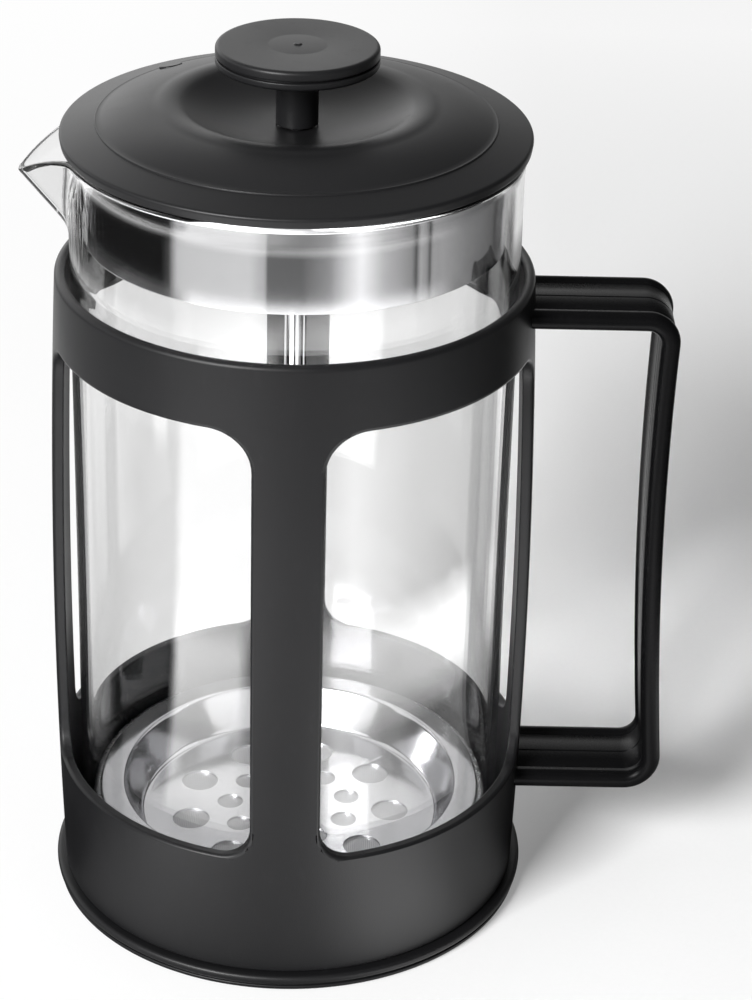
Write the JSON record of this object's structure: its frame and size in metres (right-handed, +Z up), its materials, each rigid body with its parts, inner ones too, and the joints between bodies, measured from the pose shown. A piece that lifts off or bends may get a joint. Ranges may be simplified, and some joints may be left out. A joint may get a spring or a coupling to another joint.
{
  "type": "french press",
  "caption": "Cylindrical glass coffee press in a dark moulded cage with a loop handle, a domed lid and a disc-knob plunger with a perforated steel filter.",
  "frame": {"origin": "centre of the flat standing face under the base", "axes": "+Z up along the axis of the beaker, +X towards the handle, -X towards the pouring lip"},
  "size_m": [0.1496, 0.1132, 0.2091],
  "materials": {
    "frame_plastic": "fine satin texture",
    "lid_plastic": "smooth satin",
    "beaker_glass": "clear polished",
    "polished_steel": "mirror polished",
    "wire_steel": "bright drawn",
    "insert_brass": "turned"
  },
  "bodies": {
    "frame": {"cage": "frame_plastic", "base": "frame_plastic", "handle": "frame_plastic"},
    "glass": {"beaker": "beaker_glass"},
    "lid": {"lid_cap": "lid_plastic", "lid_liner": "polished_steel", "lid_bush": "lid_plastic"},
    "plunger": {"knob": "lid_plastic", "knob_cap": "lid_plastic", "knob_insert": "insert_brass", "plunger_rod": "polished_steel", "rod_collar": "polished_steel", "filter_plate": "polished_steel", "filter_coil": "wire_steel", "mesh_screen": "wire_steel", "cross_plate": "wire_steel", "hub_nut": "wire_steel"}
  },
  "joints": [
    {"name": "beaker_lift", "type": "slide", "parent": "frame", "child": "glass", "axis": [0, 0, 1], "range_m": [0, 0.165]},
    {"name": "lid_lift", "type": "slide", "parent": "glass", "child": "lid", "axis": [0, 0, 1], "range_m": [0, 0.19]},
    {"name": "plunger_stroke", "type": "slide", "parent": "lid", "child": "plunger", "axis": [0, 0, 1], "range_m": [0, 0.142]}
  ]
}
